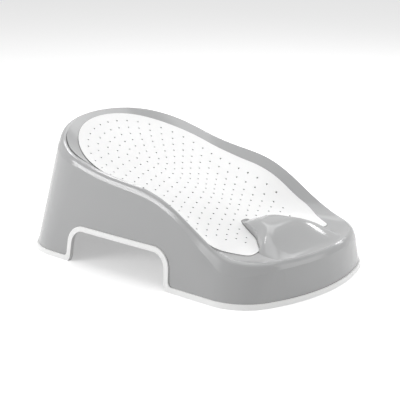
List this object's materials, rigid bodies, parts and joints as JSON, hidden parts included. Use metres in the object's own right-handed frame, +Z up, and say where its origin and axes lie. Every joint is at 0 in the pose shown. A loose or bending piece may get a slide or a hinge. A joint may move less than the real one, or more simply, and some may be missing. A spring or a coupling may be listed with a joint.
{
  "type": "baby bath seat",
  "caption": "Reclined baby bath seat: glossy grey casing with a rolled rim and side arches, a soft white pierced seat mat and a white edging along the base.",
  "frame": {"origin": "On the floor under the middle of the base", "axes": "+Z up, X along the seat with the raised head end at -X and the foot end at +X, Y across the seat"},
  "size_m": [0.5718, 0.345, 0.2158],
  "materials": {
    "grey_plastic": "smooth glossy moulded grey plastic",
    "white_mat": "soft matt white",
    "white_edging": "soft satin white"
  },
  "bodies": {
    "root": {"casing": "grey_plastic", "seat_mat": "white_mat", "base_trim": "white_edging"}
  },
  "joints": []
}
